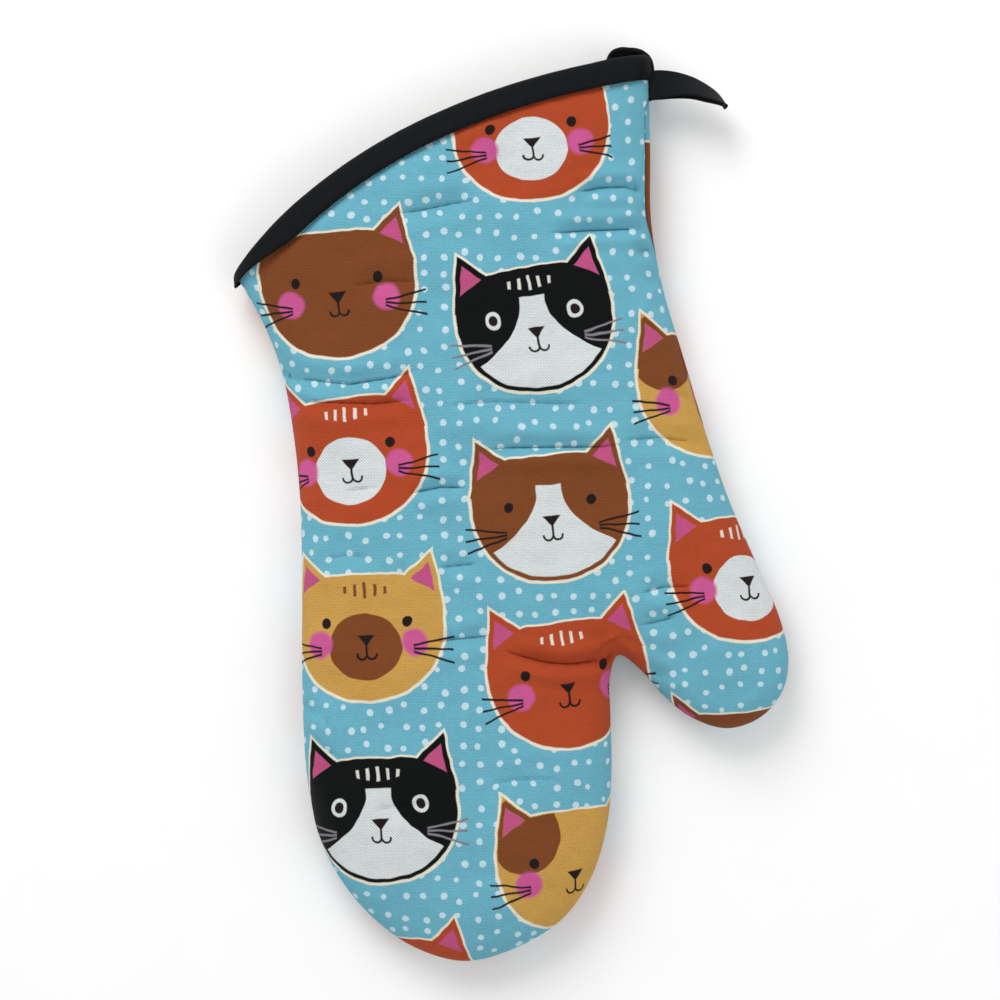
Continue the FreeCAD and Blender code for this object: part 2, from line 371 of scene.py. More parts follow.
class Skin:
    """The points and faces of a panel's outer face, with what is needed to offset it."""

    def __init__(self, side, grid, seam):
        self.side = side
        samples = evenly(side_curve(CUT_EDGE), spacing=grid * 1.1) if grid != GRID else SIDE
        inward = INWARD
        if len(samples) != len(SIDE):
            index, _ = nearest(samples, SIDE)
            inward = INWARD[index]
        n = len(samples)
        rings, angles = [], []
        start = seam(samples) * side
        inset0, height0 = rim(np.abs(start))
        height0 = height0 * np.sign(start)
        for way_in, lift in TUCKS[side]:
            rings.append((samples + inward * (inset0 + way_in)[:, None], height0 + lift))
            angles.append(start)
        for k in range(1, RIM_RINGS + 1):
            angle = start + (RIM_ANGLE - start) * k / RIM_RINGS
            inset, height = rim(np.abs(angle))
            height = height * np.sign(angle)
            rings.append((samples + inward * inset[:, None], height))
            angles.append(angle)
        last = rings[-1][0]
        arc = self.cuff_arc(last[-1], last[0], grid)
        loop = np.concatenate([last, arc])
        inner = self.fill(loop, grid)
        if grid == GRID:
            inner = self.refine(inner, loop)
        flat = np.concatenate([loop, inner])
        edges = [(i, (i + 1) % len(loop)) for i in range(len(loop))]
        made = geometry.delaunay_2d_cdt([tuple(p) for p in flat], edges, [], 1, 1e-5)
        if len(made[0]) != len(flat):
            raise RuntimeError("the panel's points were merged")
        offset = n * (len(rings) - 1)
        xy = np.concatenate([r[0] for r in rings[:-1]] + [flat])
        height = np.concatenate([r[1] for r in rings] + [np.zeros(len(flat) - n)])
        angle = np.concatenate(angles + [np.full(len(flat) - n, RIM_ANGLE)])
        self.in_rim = np.arange(len(xy)) < offset + n
        index, distance = nearest(xy, SIDE)
        self.way = INWARD[index]
        self.distance = distance
        seam_inset = rim(np.abs(seam(SIDE)))[0][index] if side > 0 else 0.0
        rolled_over = (angle < 0) | (np.arange(len(xy)) < n * len(TUCKS[side]))
        self.from_seam = np.where(rolled_over, 0.0, distance - seam_inset)
        self.rolled = np.clip(seam_inset / 2.0, 0, 1)
        free = ~self.in_rim
        height[free] = dome(distance[free])
        faces = strips(len(rings), n, range(n - 1), TURNED_OVER)
        faces += [tuple(offset + v for v in face) for face in made[2]]
        self.xy, self.height, self.angle, self.faces = xy, height, angle, faces
        self.edge_loop = list(range(n)) + [r * n + n - 1 for r in range(1, len(rings))]
        self.edge_loop += [offset + n + k for k in range(len(arc))]
        self.edge_loop += [r * n for r in range(len(rings) - 1, 0, -1)]
        self.settle(free, round(SETTLE_ROUNDS * (GRID / grid) ** 2))

    def cuff_arc(self, start, end, grid):
        a, b = (math.atan2(*(p - CUFF_CENTRE)[::-1]) for p in (start, end))
        radius = CUFF_RADIUS - CUT_EDGE
        turn = np.linspace(a, b, int(abs(b - a) * radius / grid) + 1)[1:-1]
        return CUFF_CENTRE + radius * np.stack([np.cos(turn), np.sin(turn)], 1)

    def fill(self, loop, grid):
        """Points inside the loop on a slightly uneven triangular grid."""
        low, high = loop.min(0), loop.max(0)
        rows = int((high[1] - low[1]) / (grid * 0.866))
        rng = np.random.default_rng(4)
        points = []
        for row in range(rows):
            x = np.arange(low[0] + (row % 2) * grid / 2, high[0], grid)
            y = np.full(len(x), low[1] + row * grid * 0.866)
            points.append(np.stack([x, y], 1))
        points = np.concatenate(points)
        points += rng.uniform(-0.12, 0.12, points.shape) * grid
        points = points[inside_loop(points, loop)]
        _, distance = nearest(points, loop)
        return points[distance > 0.6 * grid]

    def refine(self, inner, loop):
        """Closer rows of points along the folds, so that their valleys are sharp."""
        rows = []
        for line, _, width in CREASES:
            line = evenly(crease_line(line, self.side), spacing=0.9)
            normal = inward_of(line)
            half = notch_width(width)
            rows += [line + normal * (away * half) for away in (0.0, 1.0, -1.0, 1.9, -1.9)]
        rows = np.concatenate(rows)
        _, distance = nearest(rows, loop)
        cells = {}
        for point in rows[inside_loop(rows, loop) & (distance > 1.2)]:
            cells.setdefault((round(point[0] / FINE_CELL), round(point[1] / FINE_CELL)), point)
        kept = np.array(list(cells.values()))
        _, distance = nearest(inner, kept)
        return np.concatenate([inner[distance > GRID / 2], kept])

    def settle(self, free, rounds):
        """Smooths the dome's height, which evens out its ridges."""
        pairs = set()
        for face in self.faces:
            for a, b in zip(face, face[1:] + face[:1]):
                pairs.add((min(a, b), max(a, b)))
        pairs = np.array(sorted(pairs))
        count = np.bincount(pairs.ravel(), minlength=len(self.xy))
        for _ in range(rounds):
            total = np.bincount(pairs[:, 0], self.height[pairs[:, 1]], len(self.xy))
            total += np.bincount(pairs[:, 1], self.height[pairs[:, 0]], len(self.xy))
            mean = total / count
            self.height[free] += 0.6 * (mean - self.height)[free]

    def points(self, depth=0.0):
        """The points of the face that lies a depth under the outer one, in millimetres."""
        xy, height = self.xy.copy(), self.height.copy()
        outermost = depth == 0.0
        cuff = CUFF_RADIUS - np.linalg.norm(xy - CUFF_CENTRE, axis=1)
        depth = depth * (1 - CUFF_PRESS * smooth_step((CUFF_PRESS_REACH - cuff) / CUFF_PRESS_RAMP))
        if self.side < 0:  # the strip that is rolled to the front is thin
            full = smooth_step(1 + self.angle / THIN_ANGLE)
            depth = depth * (ROLLED_THINNESS + (1 - ROLLED_THINNESS) * full)
        along, up = slant(np.abs(self.angle), self.distance, self.in_rim)
        xy += self.way * (depth * along)[:, None]
        if not outermost:
            height = np.sign(height + 1e-6) * np.maximum(np.abs(height) - depth * up, 0.12)
        share = 1.0 if outermost else 0.35
        height += share * self.relief()
        if self.side > 0:
            z = MIDDLE + height
        else:
            z = np.maximum(MIDDLE - BACK_FULLNESS * height, 0.06 + depth)
        return bend_cuff(np.column_stack([xy, z]))

    def relief(self):
        if not hasattr(self, "_relief"):
            xy = self.xy
            cuff = CUFF_RADIUS - np.linalg.norm(xy - CUFF_CENTRE, axis=1)
            from_side = smooth_step((self.from_seam - 0.5) / 7.0)
            rolled = self.rolled
            runs_out = smooth_step((self.from_seam - 0.2 - 0.3 * rolled) / 3.4)
            value = crease_field(xy, self.side) * runs_out
            value += (0.45 * ripple(xy, 3, 60.0, 19.0) + 0.16 * ripple(xy, 8, 17.0, 9.0)) * from_side
            value += 0.3 * ripple(xy, 12, 8.0, 8.0) * np.exp(-self.distance / 7.0) * from_side
            value *= smooth_step((cuff - BINDING_WIDTH + 3.0) / 9.0)
            value -= 0.9 * np.exp(-(((cuff - BINDING_WIDTH) / 2.4) ** 2)) * from_side
            value -= 0.9 * smooth_step((BINDING_WIDTH + 0.5 - cuff) / 2.0) * from_side
            if self.side < 0:
                value = 0.5 * value
            self._relief = value
        return self._relief

    def cloth(self):
        """Where each point was on the flat printed cloth, in millimetres."""
        inset, height = rim(np.linspace(0, math.pi / 2, 60))
        length = run_length(np.column_stack([inset, height]))
        way_in = np.minimum(self.distance, PILLOW_REACH)
        extra = (length[-1] - np.interp(way_in, inset, length)) - (PILLOW_REACH - way_in)
        flat = self.xy - self.way * (extra + 2.0 * (self.angle < 0))[:, None]
        if self.side < 0:
            flat = BACK_PRINT + flat * np.array([-1.0, 1.0])
        return flat


# ---- meshes

CLOTH_UV = "cloth"
CLOTH_SCALE = 100.0  # millimetres of cloth for one unit of the UV map


def add_object(name, points, faces, material, cloth=None, normals=None):
    """A mesh object from points in millimetres; cloth is each point's place on the flat cloth."""
    mesh = bpy.data.meshes.new(name)
    mesh.from_pydata((np.asarray(points) * MM).tolist(), [], [tuple(f) for f in faces])
    mesh.materials.append(material)
    if cloth is not None:
        layer = mesh.uv_layers.new(name=CLOTH_UV)
        corners = np.empty(len(mesh.loops), int)
        mesh.loops.foreach_get("vertex_index", corners)
        layer.data.foreach_set("uv", (np.asarray(cloth)[corners] / CLOTH_SCALE).ravel())
    mesh.shade_smooth()
    mesh.update()
    if normals is not None:
        mesh.normals_split_custom_set_from_vertices([tuple(n) for n in normals])
    obj = bpy.data.objects.new(name, mesh)
    bpy.context.scene.collection.objects.link(obj)
    return obj


FOLD_ALONG = unit(THUMB_FOLD[1] - THUMB_FOLD[0])
FOLD_OUT = np.array([FOLD_ALONG[1], -FOLD_ALONG[0]])


def on_thumb(xy):
    """Which points lie on the thumb's side of its fold line."""
    out = (xy - THUMB_FOLD[0]) @ FOLD_OUT
    return (out > 0) & ((xy[:, 1] > THUMB_FOLD[0][1] - 3.0) | (xy[:, 0] > THUMB_FOLD[0][0] + 2.2))


def bend_fingers(obj):
    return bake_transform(obj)


def bend_thumb(obj):
    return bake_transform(obj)


def add_folding(name, points, faces, material, cloth=None):
    """Two objects, one for the hand and fingers and one for the thumb, with one surface."""
    whole = add_object(name, points, faces, material, cloth)
    normals = np.empty(len(points) * 3)
    whole.data.vertices.foreach_get("normal", normals)
    normals = normals.reshape(-1, 3)
    mesh = whole.data
    bpy.data.objects.remove(whole)
    bpy.data.meshes.remove(mesh)
    centres = np.array([np.mean(points[list(f)][:, :2], axis=0) for f in faces])
    thumb = on_thumb(centres)
    made = []
    for part, chosen, bend in (("", ~thumb, bend_fingers), ("_thumb", thumb, bend_thumb)):
        kept = [faces[i] for i in np.flatnonzero(chosen)]
        used = np.unique(np.concatenate([np.array(f) for f in kept]))
        renamed = np.full(len(points), -1)
        renamed[used] = np.arange(len(used))
        obj = add_object(
            name + part, points[used], [tuple(renamed[list(f)]) for f in kept], material,
            None if cloth is None else cloth[used], normals[used],
        )
        made.append(bend(obj))
    return made


def thick_cloth(skin, outer, inner):
    """Points and faces of a closed layer between two depths of a skin."""
    top, bottom = skin.points(outer), skin.points(inner)
    shift = len(top)
    faces = list(skin.faces) + [tuple(v + shift for v in reversed(f)) for f in skin.faces]
    loop = skin.edge_loop
    for a, b in zip(loop, loop[1:] + loop[:1]):
        faces.append((b, a, a + shift, b + shift))
    if skin.side < 0:
        faces = [tuple(reversed(f)) for f in faces]
    return np.concatenate([top, bottom]), faces


def seam_place(samples):
    """Angle by which the side seam has rolled to the front, on the thumb's side of the cuff."""
    y = samples[:, 1]
    right = smooth_step((samples[:, 0] - 44.0) / 5.0) * (y > 20.0)
    upper = smooth_step((y - 84.0) / 22.0) * smooth_step((150.0 - y) / 9.0)
    lower = smooth_step((y - 24.0) / 10.0) * smooth_step((66.0 - y) / 12.0)
    return np.radians(21.0) * right * upper + np.radians(10.0) * right * lower


SEAM_ALLOWANCE = 3.9
SEAM_THREAD_SKIPS = 6  # points of the side at each end, under the binding
HAND_CUT = (0.19, 0.335)  # the smallest rectangles of cloth that the cuts come from, in metres
THUMB_CUT = (0.085, 0.125)


def make_panels(cotton, lining):
    """The printed, padded panels and their linings, front and back."""
    for half, side in (("front", 1), ("back", -1)):
        skin = Skin(side, GRID, seam_place)
        points, faces = thick_cloth(skin, 0.0, PANEL)
        cloth = np.concatenate([skin.cloth()] * 2)
        panel, thumb = add_folding(half + "_panel", points, faces, cotton, cloth)
        for layer in ("cover", "wadding"):
            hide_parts(f"{half}_{layer}_hand", f"{half}_{layer}_fingers")
            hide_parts(f"{half}_{layer}_thumb")
        skin = Skin(side, 2 * GRID, lambda samples: np.zeros(len(samples)))
        points, faces = thick_cloth(skin, PANEL + GAP, PANEL + GAP + LINING)
        cloth = np.concatenate([skin.cloth()] * 2)
        sheets = add_folding(half + "_inner_cotton", points, faces, lining, cloth)
        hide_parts(f"{half}_lining_hand", f"{half}_lining_fingers")
        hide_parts(f"{half}_lining_thumb")
        for obj, flat, on in zip(sheets, (HAND_CUT, THUMB_CUT), (False, True)):
            area = cut_area(skin, on) * MM * MM


def cut_area(skin, thumb):
    """Area of the flat cut on the thumb, or on the hand and fingers, in square millimetres."""
    cloth, total = skin.cloth(), 0.0
    for face in skin.faces:
        corners = list(face)
        if on_thumb(skin.xy[corners].mean(0, keepdims=True))[0] == thumb:
            x, y = cloth[corners].T
            total += 0.5 * abs(np.dot(x, np.roll(y, -1)) - np.dot(y, np.roll(x, -1)))
    return total


# ---- binding, stitches, tape

def mouth_section(width):
    """The outer faces cut across the mouth: a closed line, and its ways out of the padding."""
    inset, height = rim(np.linspace(0, math.radians(89.0), 26))
    flat = np.linspace(PILLOW_REACH, width - PILLOW_REACH, 60)[1:-1]
    across = np.concatenate([inset, flat, width - inset[::-1]])
    up = np.concatenate([height, np.full(len(flat), PILLOW_HEIGHT), height[::-1]])
    section = np.column_stack([across, up])
    angle = np.minimum(np.arcsin(up / PILLOW_HEIGHT), RIM_ANGLE)
    along, lift = slant(angle, np.minimum(across, width - across), angle < RIM_ANGLE)
    way = np.column_stack([np.where(across < width / 2, -along, along), lift])
    flip = np.array([1.0, -1.0])
    return (np.concatenate([line, line[-2:0:-1] * flip]) for line in (section, way))


def on_mouth(inset, offset):
    """A closed line round the mouth, a distance in from the cuff's edge and off the outer faces."""
    curve = side_curve(inset)
    left, right = (math.atan2(*(p - CUFF_CENTRE)[::-1]) for p in (curve[0], curve[-1]))
    radius = CUFF_RADIUS - inset
    section, way = mouth_section((left - right) * radius)
    waves = 0.12 * np.sin(section[:, 0] * 0.55 + np.sign(section[:, 1]) * 2.0)
    waves += 0.08 * np.sin(section[:, 0] * 0.23 + 1.0)
    moved = section + way * (offset + waves)[:, None]
    turn = left - moved[:, 0] / radius
    narrow = BINDING_NARROWS * (1 - smooth_step(moved[:, 0] / BINDING_NARROWS_OVER))
    radius = CUFF_RADIUS - inset * (1 - narrow)
    xy = CUFF_CENTRE + radius[:, None] * np.stack([np.cos(turn), np.sin(turn)], 1)
    z = np.maximum(MIDDLE + moved[:, 1] * np.where(section[:, 1] < 0, BACK_FULLNESS, 1.0), 0.03)
    return bend_cuff(np.column_stack([xy, z]))


def make_binding(black, thread):
    """The tape folded over the edge of both panels, all the way round the mouth."""
    pressed = (PANEL + GAP + LINING) * (1 - CUFF_PRESS)
    half = BINDING / 2
    middle = [
        (BINDING_WIDTH, 0.30), (BINDING_WIDTH - 1.2, 0.46), (7.0, 0.52), (4.0, 0.50), (1.8, 0.42),
        (0.5, 0.05), (-0.15, -0.8), (-0.3, -1.7), (-0.3, -2.7), (-0.15, -pressed - 0.3),
        (0.4, -pressed - 0.85), (1.8, -pressed - 1.15), (4.0, -pressed - 1.2), (7.0, -pressed - 1.2),
        (BINDING_WIDTH, -pressed - 1.1),
    ]
    middle = np.array(middle)
    along = unit(np.gradient(middle, axis=0))
    normal = np.stack([along[:, 1], -along[:, 0]], 1)
    profile = np.concatenate([middle + normal * half, (middle - normal * half)[::-1]])
    rows = [on_mouth(inset, offset) for inset, offset in profile]
    count, size = len(rows), len(rows[0])
    faces = [
        tuple(v % (count * size) for v in face)
        for face in strips(count + 1, size, range(size), TURNED_OVER)
    ]
    cloth = np.array([(x, y) for y in run_length(profile) for x in run_length(rows[0])])
    binding = add_object("cuff_binding_tape", np.concatenate(rows), faces, black, cloth)
    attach(binding, "hand_section")
    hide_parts("cuff_binding")

    line = on_mouth(BINDING_WIDTH - 1.5, 0.86)
    row = stitch_row(np.vstack([line, line[:1]]), pitch=2.9, share=0.62, radius=0.2)
    stitches = add_object("binding_topstitch", *row, thread)
    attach(stitches, "hand_section")
    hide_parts("binding_stitching")


def gather(parts):
    """The points and faces of several shells as one."""
    points, faces = [], []
    for more, shell in parts:
        faces += [tuple(v + len(points) for v in face) for face in shell]
        points += list(more)
    return np.array(points), faces


def stitch_row(line, pitch, share, radius):
    """Short rounded stitches along a line; share is the stitched part of each pitch."""
    steps = run_length(line)
    parts = []
    for n in range(int(steps[-1] / pitch)):
        ends = [
            np.array([np.interp(at, steps, line[:, k]) for k in range(3)])
            for at in (n * pitch, n * pitch + pitch * share)
        ]
        parts.append(rod(*ends, radius))
    return gather(parts)


def tube(rows, size, order=(0, 1, 2, 3)):
    """Faces of a closed tube with flat ends."""
    ends = [tuple(range(size)), tuple(reversed(range((rows - 1) * size, rows * size)))]
    return strips(rows, size, range(size), order) + ends


def rod(a, b, radius, around=6):
    """A rounded stitch between two points."""
    axis = unit(b - a)
    side = unit(np.cross(axis, [0.12, 0.2, 0.97]))
    up = np.cross(side, axis)
    length = np.linalg.norm(b - a)
    stations = [(0.0, 0.35), (0.12, 0.85), (0.5, 1.05), (0.88, 0.85), (1.0, 0.35)]
    points = []
    for at, size in stations:
        sink = -0.5 * radius * (2 * at - 1) ** 2
        centre = a + axis * at * length + up * sink
        for k in range(around):
            turn = 2 * math.pi * k / around
            points.append(centre + radius * size * (side * math.cos(turn) + up * math.sin(turn)))
    return points, tube(len(stations), around, (3, 0, 1, 2))


def tape_mesh(stations, thickness):
    """A tape along stations of centre and width vector, as points, faces and cloth places."""
    rows = open_spline([tuple(c) + tuple(w) for c, w in stations])
    centre, wide = rows[:, :3], rows[:, 3:]
    along = unit(np.gradient(centre, axis=0))
    normal = unit(np.cross(along, wide))
    outline = [
        (-0.5, 0.0), (-0.49, 0.36), (-0.44, 0.5), (-0.25, 0.5), (0.0, 0.5), (0.25, 0.5),
        (0.44, 0.5), (0.49, 0.36), (0.5, 0.0),
    ]
    outline += [(x, -y) for x, y in reversed(outline[1:-1])]
    points, cloth = [], []
    run = run_length(centre)
    for k in range(len(rows)):
        for x, y in outline:
            points.append(centre[k] + wide[k] * x + normal[k] * thickness * y)
            cloth.append((run[k], x * np.linalg.norm(wide[k])))
    return np.array(points), tube(len(rows), len(outline)), np.array(cloth)


# The loop's upper leg from the seam to the tip: the middle of the tape, and the vector across it
# from its lower to its upper edge. The tape turns on its edge towards the tip and comes back under.
LEG = [
    ((48.2, 152, 14.6), (0.6, 10.4, 0)), ((53.3, 152.2, 15.2), (0, 10.4, -0.6)),
    ((57.4, 152.4, 15.6), (0, 9.6, -3.6)), ((61.8, 152.1, 15.6), (0, 8.5, -5.8)),
    ((66, 151.2, 15.4), (0.3, 7.4, -7.2)), ((70.3, 149.5, 15), (0.8, 6, -8.2)),
    ((73.8, 147.7, 14.5), (1.2, 4.2, -9)), ((76.3, 145.8, 14.1), (0.9, 2, -9.6)),
    ((77.4, 144.6, 13.9), (0.4, 0.8, -9.8)),
]
LEG_TAPE, ARCH_TAPE = 0.75, 1.6  # thicknesses; the arch is the tape folded double
TACK_STITCHES = 7
LEG_GAPS = (2.4, 2.2, 2.0, 1.8, 1.6, 1.4, 1.1, 0.9, 0.8)  # down to the lower leg
# The second end of the tape, which arches over the cuff's edge.
ARCH = [
    ((35.4, 154.6, 9.5), (-0.8, 0.8, 8.4)), ((35.2, 160.2, 9.6), (-1.4, 0.8, 8.6)),
    ((36.6, 163.2, 9.8), (-1, 1.6, 8.6)), ((39.2, 164.5, 10), (-0.2, 1.4, 8.8)),
    ((41.9, 164.5, 10), (0.1, 1.2, 8.8)), ((44.6, 164.1, 10), (0.4, 1.6, 8.7)),
    ((46.8, 163.1, 9.9), (0.8, 2, 8.4)), ((48.8, 161.4, 9.7), (1.2, 1.6, 8.4)),
    ((49.9, 158.8, 9.4), (1.2, 0.8, 8)), ((50.2, 154.6, 9.2), (1, 0.2, 7.6)),
]


def loop_stations():
    """Both legs of the loop; the lower one lies a small gap under the upper one's face."""
    upper = np.array([tuple(c) + tuple(w) for c, w in LEG])
    along = unit(np.gradient(upper[:, :3], axis=0))
    normal = unit(np.cross(along, upper[:, 3:]))
    lower = upper.copy()
    lower[:, :3] -= normal * np.array(LEG_GAPS)[:, None]
    turn = (upper[-1] + lower[-1]) / 2
    turn[:3] += along[-1] * 0.3
    rows = np.concatenate([upper, [turn], lower[::-1]])
    return [(row[:3], row[3:]) for row in rows]


def make_loop(black, thread):
    points, faces, cloth = tape_mesh(loop_stations(), LEG_TAPE)
    loop = add_object("hanging_loop_tape", points, faces, black, cloth)
    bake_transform(loop)
    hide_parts("hanging_loop")
    points, faces, cloth = tape_mesh(ARCH, ARCH_TAPE)
    arch = add_object("loop_arch_tape", points, faces, black, cloth)
    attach(arch, "hand_section")
    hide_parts("loop_over_cuff")
    parts = []
    for k in range(TACK_STITCHES):
        y = 153.4 + k
        a = np.array([46.2 + 0.25 * (k % 2), y, MIDDLE + PILLOW_HEIGHT * 0.62])
        b = np.array([48.4 - 0.2 * (k % 2), y + 0.15, MIDDLE + PILLOW_HEIGHT * 0.42])
        parts.append(rod(a, b, 0.24))
    tack = add_object("loop_tack_stitches", *gather(parts), thread)
    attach(tack, "hand_section")
    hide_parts("loop_bar_tack")


def make_seam_thread(thread):
    """The line of lock stitches inside the side seam."""
    ends = slice(SEAM_THREAD_SKIPS, -SEAM_THREAD_SKIPS)
    line = (SIDE + INWARD * SEAM_ALLOWANCE)[ends]
    thumb = on_thumb(SIDE[ends])
    line = np.column_stack([line, np.full(len(line), MIDDLE)])
    edges = np.flatnonzero(np.diff(thumb.astype(int))) + 1
    runs = [run for run in np.split(np.arange(len(line)), edges) if len(run) >= 4]
    for part, on, bend, sections in (
        ("", False, bend_fingers, ("hand", "fingers")), ("_thumb", True, bend_thumb, ("thumb",)),
    ):
        rows = [stitch_row(line[run], 2.6, 0.98, 0.22) for run in runs if thumb[run[0]] == on]
        obj = bend(add_object("side_seam_thread" + part, *gather(rows), thread))
        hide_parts(*("seam_thread_" + s for s in sections))


# ---- materials

class Number:
    """A number in a material's nodes, so that formulas are written as sums and products."""

    def __init__(self, tree, socket):
        self.tree, self.socket = tree, socket

    def math(self, operation, *others, clamp=False):
        node = self.tree.nodes.new("ShaderNodeMath")
        node.operation, node.use_clamp = operation, clamp
        for socket, item in zip(node.inputs, (self, *others)):
            if isinstance(item, Number):
                self.tree.links.new(item.socket, socket)
            else:
                socket.default_value = item
        return Number(self.tree, node.outputs[0])

    def __rsub__(self, other):
        return self * -1.0 + other

    def __neg__(self):
        return self * -1.0

    __add__, __sub__ = partialmethod(math, "ADD"), partialmethod(math, "SUBTRACT")
    __mul__, __truediv__ = partialmethod(math, "MULTIPLY"), partialmethod(math, "DIVIDE")
    __pow__, __abs__ = partialmethod(math, "POWER"), partialmethod(math, "ABSOLUTE")
    least, most = partialmethod(math, "MINIMUM"), partialmethod(math, "MAXIMUM")
    floor, cycle = partialmethod(math, "FLOOR"), partialmethod(math, "FLOORED_MODULO")
    sine, root = partialmethod(math, "SINE"), partialmethod(math, "SQRT")

    def inside(self, soft):
        """1 where the number is under zero, 0 where it is over, over a soft edge."""
        return self.math("MULTIPLY_ADD", -1.0 / soft, 0.5, clamp=True)

    def near(self, value):
        """1 where the number is about the value, as the marks of the heads are."""
        return (abs(self - value) - 0.12).inside(0.02)


def srgb(r, g, b):
    """A colour given as it looks on a screen, 0 to 255, as the shader's linear colour."""
    channels = [c / 255 for c in (r, g, b)]
    return [c / 12.92 if c <= 0.04045 else ((c + 0.055) / 1.055) ** 2.4 for c in channels] + [1.0]


class Shader:
    """A material with one Principled shader and helpers for its patterns."""

    def __init__(self, name, roughness, sheen=0.0, specular=0.28):
        self.material = bpy.data.materials.new(name)
        self.material.use_nodes = True
        self.tree = self.material.node_tree
        self.out = self.tree.nodes["Principled BSDF"]
        self.out.inputs["Roughness"].default_value = roughness
        self.out.inputs["Sheen Weight"].default_value = sheen
        self.out.inputs["Sheen Roughness"].default_value = 0.45
        self.out.inputs["Specular IOR Level"].default_value = specular

    def node(self, kind, **values):
        node = self.tree.nodes.new(kind)
        for name, value in values.items():
            setattr(node, name, value)
        return node

    def link(self, source, target):
        self.tree.links.new(source.socket if isinstance(source, Number) else source, target)

    def numbers(self, sockets, count):
        return [Number(self.tree, sockets[k]) for k in range(count)]

    def cloth(self):
        """The place on the flat cloth, in millimetres."""
        uv = self.node("ShaderNodeUVMap", uv_map=CLOTH_UV)
        split = self.node("ShaderNodeSeparateXYZ")
        self.link(uv.outputs[0], split.inputs[0])
        return [place * CLOTH_SCALE for place in self.numbers(split.outputs, 2)]

    def vector(self, x, y):
        join = self.node("ShaderNodeCombineXYZ")
        self.link(x, join.inputs[0])
        self.link(y, join.inputs[1])
        return join.outputs[0]

    def noise(self, vector, scale, detail=2.0):
        """A noise texture's two outputs: a number and a colour."""
        node = self.node("ShaderNodeTexNoise", noise_dimensions="3D")
        node.inputs["Scale"].default_value = scale
        node.inputs["Detail"].default_value = detail
        self.link(vector, node.inputs["Vector"])
        return Number(self.tree, node.outputs["Fac"]), node.outputs["Color"]

    def table(self, position, colours):
        """One colour of a list, chosen by a position from 0 to 1."""
        node = self.node("ShaderNodeValToRGB")
        ramp = node.color_ramp
        ramp.interpolation = "CONSTANT"
        for k, colour in enumerate(colours):
            step = ramp.elements[k] if k < 2 else ramp.elements.new(0.999)
            step.position = k / len(colours)
            step.color = (*colour[:3], 1.0)
        self.link(position, node.inputs[0])
        return node.outputs[0]

    def mix(self, amount, below, above, blend="MIX"):
        node = self.node("ShaderNodeMix", data_type="RGBA", blend_type=blend)
        for socket, value in zip((0, 6, 7), (amount, below, above)):
            socket = node.inputs[socket]
            if isinstance(value, (float, list, tuple)):
                socket.default_value = value
            else:
                self.link(value, socket)
        return node.outputs[2]

    def split(self, colour):
        node = self.node("ShaderNodeSeparateColor")
        self.link(colour, node.inputs[0])
        return self.numbers(node.outputs, 3)

    def bump(self, height, distance, strength):
        node = self.node("ShaderNodeBump")
        node.inputs["Strength"].default_value = strength
        node.inputs["Distance"].default_value = distance
        self.link(height, node.inputs["Height"])
        return node.outputs[0]

    def finish(self, colour, normal):
        self.link(colour, self.out.inputs["Base Color"])
        self.link(normal, self.out.inputs["Normal"])
        return self.material


GROUND, DOT, CREAM = srgb(104, 172, 191), srgb(192, 217, 226), srgb(226, 220, 202)
ORANGE, BROWN, MUSTARD = srgb(172, 70, 37), srgb(122, 67, 33), srgb(196, 152, 76)
BLACK, WHITE, PINK, CHEEK = srgb(8, 10, 11), srgb(208, 213, 214), srgb(186, 80, 126), srgb(198, 86, 144)
INK, GREY, PALE_INK = srgb(30, 22, 22), srgb(128, 124, 130), srgb(228, 226, 216)

# The printed heads repeat over three columns and six rows: coat, muzzle, forehead, cheeks and
# the head's shift and tilt from its place in the repeat (millimetres and degrees).
PLAIN, ROUND_WHITE, BLAZE, ROUND_BROWN, PATCH = 0.0, 0.25, 0.5, 0.75, 1.0
NO_BARS, DARK_BARS, PALE_BARS = 0.0, 0.5, 1.0
NO_HEAD = (GROUND, PLAIN, NO_BARS, 0, (0.0, 0.0), 0.0)
HEADS = {
    (0, 0): (BROWN, PLAIN, NO_BARS, 1, (-1.1, -3.6), 0.5),
    (0, 1): (ORANGE, ROUND_WHITE, PALE_BARS, 1, (-1.4, 0.7), 2),
    (0, 2): (MUSTARD, ROUND_BROWN, DARK_BARS, 1, (-0.4, 1.4), -2.5),
    (0, 3): (BLACK, BLAZE, PALE_BARS, 0, (-0.7, -0.4), -1),
    (0, 4): (ORANGE, PLAIN, NO_BARS, 1, (-0.4, -4.3), 2),
    (0, 5): (MUSTARD, PATCH, NO_BARS, 1, (0, 0), 3),
    (1, 0): (BLACK, BLAZE, PALE_BARS, 0, (1.1, 3.2), 4.5),
    (1, 1): (BROWN, BLAZE, NO_BARS, 0, (1.4, -0.4), 1.5),
    (1, 2): (ORANGE, PLAIN, PALE_BARS, 1, (2.5, 3.6), 3),
    (1, 3): (MUSTARD, PATCH, NO_BARS, 1, (0.4, 0), 1),
    (1, 4): (BROWN, BLAZE, NO_BARS, 0, (0, 0), 3),
    (1, 5): (ORANGE, ROUND_WHITE, PALE_BARS, 1, (5, 7.9), 0),
    (2, 0): (MUSTARD, PATCH, NO_BARS, 1, (-3.2, 1.1), 0),
    (2, 1): (ORANGE, ROUND_WHITE, PALE_BARS, 1, (3.2, -2.5), 3),
    (2, 2): (BROWN, PLAIN, NO_BARS, 0, (-4.3, -10.1), -1),
    (2, 3): (BLACK, BLAZE, PALE_BARS, 0, (0, 0), 2),
    (2, 4): (ORANGE, PLAIN, PALE_BARS, 1, (6, 6), 2),
    (2, 5): NO_HEAD,
}
COLUMNS, ROWS = 3, 6
